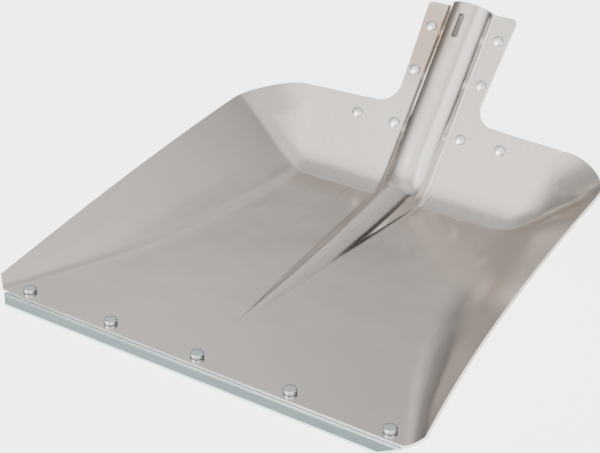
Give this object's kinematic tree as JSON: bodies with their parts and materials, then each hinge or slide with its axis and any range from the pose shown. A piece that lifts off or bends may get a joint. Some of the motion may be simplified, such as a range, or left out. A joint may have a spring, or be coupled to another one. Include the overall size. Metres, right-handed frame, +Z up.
{
  "type": "scoop shovel head",
  "caption": "Wide pressed scoop shovel head with raised side walls, a tapering centre rib that runs into a riveted handle socket, and a riveted wear strip along the front edge.",
  "frame": {"origin": "middle of the footprint, level with the underside of the wear strip", "axes": "+Y from the cutting edge towards the handle socket, +Z up out of the pan, +X across the blade to the right when looking along +Y"},
  "size_m": [0.3624, 0.4262, 0.1416],
  "materials": {
    "blade": "satin mill finish",
    "wear_strip": "zinc plated",
    "socket_plate": "satin mill finish",
    "edge_rivet": "zinc plated",
    "socket_rivet": "bright"
  },
  "bodies": {
    "root": {"blade": "blade", "wear_strip": "wear_strip", "socket_plate": "socket_plate", "edge_rivet_1": "edge_rivet", "edge_rivet_2": "edge_rivet", "edge_rivet_3": "edge_rivet", "edge_rivet_4": "edge_rivet", "edge_rivet_5": "edge_rivet", "socket_rivet_1": "socket_rivet", "socket_rivet_2": "socket_rivet", "socket_rivet_3": "socket_rivet", "socket_rivet_4": "socket_rivet", "socket_rivet_5": "socket_rivet", "socket_rivet_6": "socket_rivet", "socket_rivet_7": "socket_rivet", "socket_rivet_8": "socket_rivet"}
  },
  "joints": []
}
